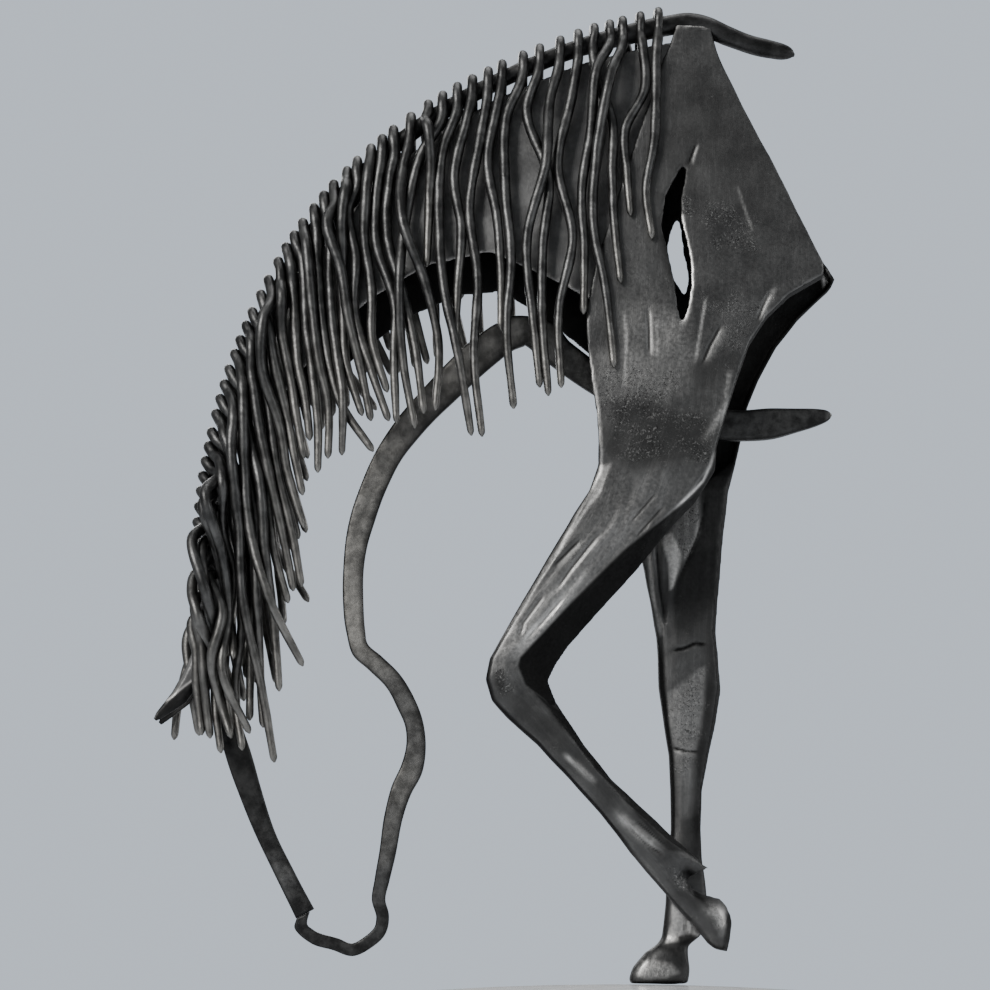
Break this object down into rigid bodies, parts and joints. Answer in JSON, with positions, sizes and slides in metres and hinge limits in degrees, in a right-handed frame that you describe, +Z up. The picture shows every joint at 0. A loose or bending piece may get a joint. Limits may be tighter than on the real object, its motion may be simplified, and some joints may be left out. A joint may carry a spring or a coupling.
{
  "type": "steel horse sculpture",
  "caption": "Forged steel forequarters of a horse with a lowered head, a mane of bent rods, and one foreleg crossed before the other, on a low round base",
  "frame": {"origin": "the centre of the base's flat underside", "axes": "+Z up; the horse faces -X; its near side, with the crossing foreleg, faces -Y"},
  "size_m": [0.669, 0.43, 1.0273],
  "materials": {
    "forged_steel": "dark forged and waxed, burnished on edges and high spots",
    "dark_plate": "dark scale, barely polished",
    "pale_stone": "polished"
  },
  "bodies": {
    "root": {"base": "pale_stone", "near_side": "forged_steel", "far_side": "forged_steel", "near_neck_plate": "dark_plate", "far_neck_plate": "dark_plate", "crest_bar": "forged_steel", "throat_bar": "forged_steel", "face_bar": "forged_steel", "near_ear": "dark_plate", "far_ear": "dark_plate", "mane_rod_00": "forged_steel", "mane_rod_01": "forged_steel", "mane_rod_02": "forged_steel", "mane_rod_03": "forged_steel", "mane_rod_04": "forged_steel", "mane_rod_05": "forged_steel", "mane_rod_06": "forged_steel", "mane_rod_07": "forged_steel", "mane_rod_08": "forged_steel", "mane_rod_09": "forged_steel", "mane_rod_10": "forged_steel", "mane_rod_11": "forged_steel", "mane_rod_12": "forged_steel", "mane_rod_13": "forged_steel", "mane_rod_14": "forged_steel", "mane_rod_15": "forged_steel", "mane_rod_16": "forged_steel", "mane_rod_17": "forged_steel", "mane_rod_18": "forged_steel", "mane_rod_19": "forged_steel", "mane_rod_20": "forged_steel", "mane_rod_21": "forged_steel", "mane_rod_22": "forged_steel", "mane_rod_23": "forged_steel", "mane_rod_24": "forged_steel", "mane_rod_25": "forged_steel", "mane_rod_26": "forged_steel", "mane_rod_27": "forged_steel", "mane_rod_28": "forged_steel", "mane_rod_29": "forged_steel", "mane_rod_30": "forged_steel", "mane_rod_31": "forged_steel", "mane_rod_32": "forged_steel", "mane_rod_33": "forged_steel", "mane_rod_34": "forged_steel", "mane_rod_35": "forged_steel", "mane_rod_36": "forged_steel", "mane_rod_37": "forged_steel", "mane_rod_38": "forged_steel", "mane_rod_39": "forged_steel", "mane_rod_40": "forged_steel", "mane_rod_41": "forged_steel", "mane_rod_42": "forged_steel", "mane_rod_43": "forged_steel", "mane_rod_44": "forged_steel", "mane_rod_45": "forged_steel", "mane_rod_46": "forged_steel", "mane_rod_47": "forged_steel", "mane_rod_48": "forged_steel"}
  },
  "joints": []
}
